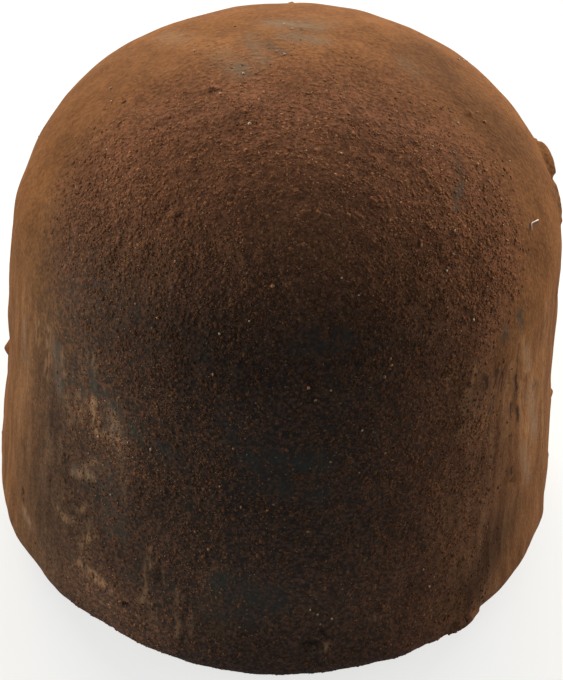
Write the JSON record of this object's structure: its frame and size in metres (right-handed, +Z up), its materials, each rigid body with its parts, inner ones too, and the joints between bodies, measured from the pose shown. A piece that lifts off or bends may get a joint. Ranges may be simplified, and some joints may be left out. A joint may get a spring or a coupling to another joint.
{
  "type": "chocolate truffle",
  "caption": "Chocolate truffle: a squat plug with a domed top and a slightly flared wall, dusted all over with cocoa, on a flat base.",
  "frame": {"origin": "middle of the flat base that the truffle stands on", "axes": "+Z up through the middle of the dome; the side with the rubbed, darkest wall faces -Y, and the flake on the shoulder is at +X"},
  "size_m": [0.024, 0.0238, 0.0229],
  "materials": {
    "cocoa_crust": "dry cocoa powder over dark chocolate: matt and grainy, with a dull sheen where the powder is rubbed off"
  },
  "bodies": {
    "root": {"truffle": "cocoa_crust"}
  },
  "joints": []
}
